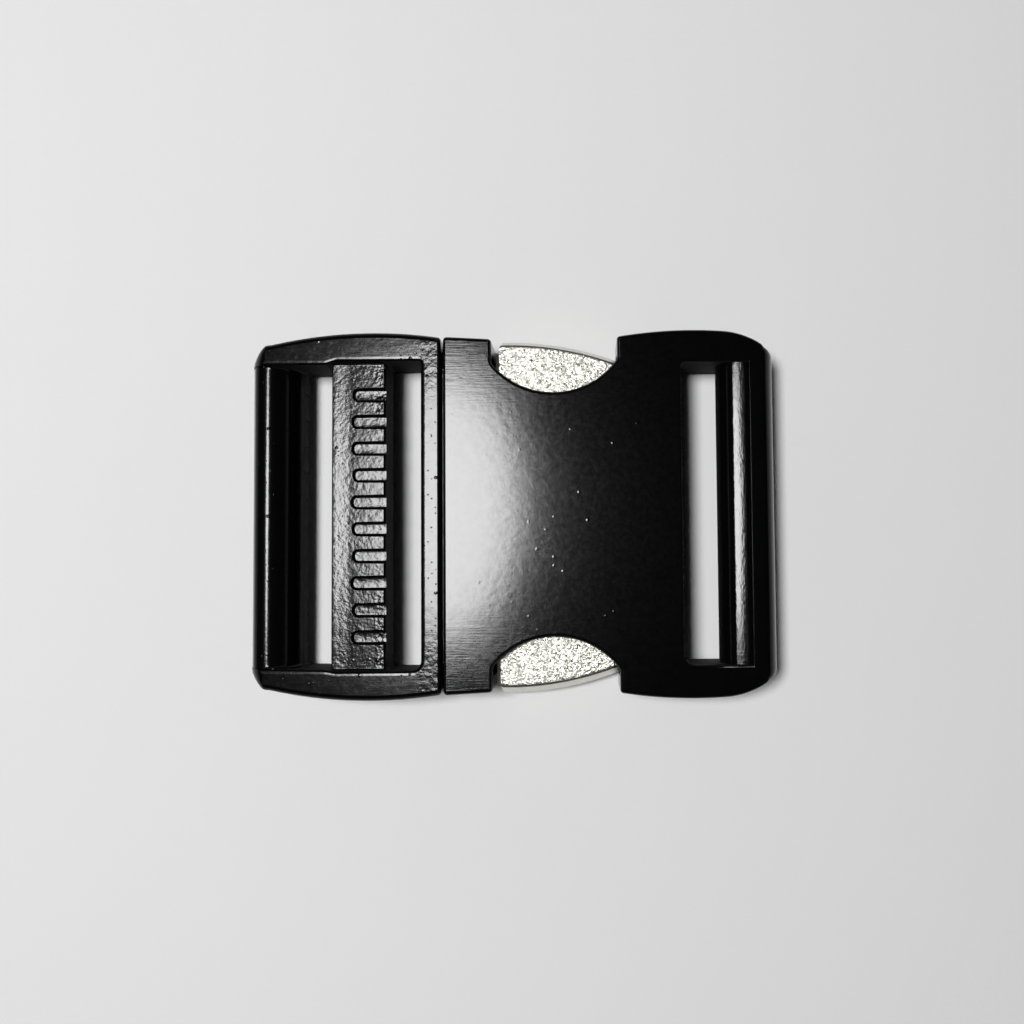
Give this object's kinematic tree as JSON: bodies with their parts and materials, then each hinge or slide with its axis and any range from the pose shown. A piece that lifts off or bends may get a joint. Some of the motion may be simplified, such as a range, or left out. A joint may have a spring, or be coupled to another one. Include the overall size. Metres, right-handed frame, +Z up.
{
  "type": "side-release buckle",
  "caption": "Side-release metal buckle for wide webbing, with a slider adjuster on its male half and spring latches pressed from both sides to let go.",
  "frame": {"origin": "middle of the underside of the closed buckle, on the surface it lies on", "axes": "+X from the male half's webbing bar to the female half's webbing bar, +Y across the webbing, +Z up"},
  "size_m": [0.0702, 0.0486, 0.0092],
  "materials": {
    "frame_lacquer": "gloss black lacquer on cast zinc",
    "housing_lacquer": "gloss black lacquer on cast zinc",
    "latch_plating": "rough nickel plating over a granular casting",
    "pin_steel": "drawn steel pin",
    "spring_steel": "spring wire"
  },
  "bodies": {
    "male_half": {"male_frame": "frame_lacquer", "left_pivot_pin": "pin_steel", "right_pivot_pin": "pin_steel", "left_latch_spring": "spring_steel", "right_latch_spring": "spring_steel"},
    "female_half": {"female_housing": "housing_lacquer"},
    "left_latch": {"left_latch": "latch_plating"},
    "right_latch": {"right_latch": "latch_plating"}
  },
  "joints": [
    {"name": "left_latch_press", "type": "hinge", "parent": "male_half", "child": "left_latch", "pos_m": [0.0176, 0.0158, 0.0046], "axis": [0, 0, 1], "range_deg": [0, 11.5], "stiffness_Nm_per_rad": 0.23, "springref_deg": -7.45, "deforming": ["left_latch_spring"]},
    {"name": "right_latch_press", "type": "hinge", "parent": "male_half", "child": "right_latch", "pos_m": [0.0176, -0.0158, 0.0046], "axis": [0, 0, -1], "range_deg": [0, 11.5], "stiffness_Nm_per_rad": 0.23, "springref_deg": -7.45, "deforming": ["right_latch_spring"]},
    {"name": "latched_play", "type": "slide", "parent": "male_half", "child": "female_half", "axis": [1, 0, 0], "range_m": [0, 0.0006]}
  ]
}
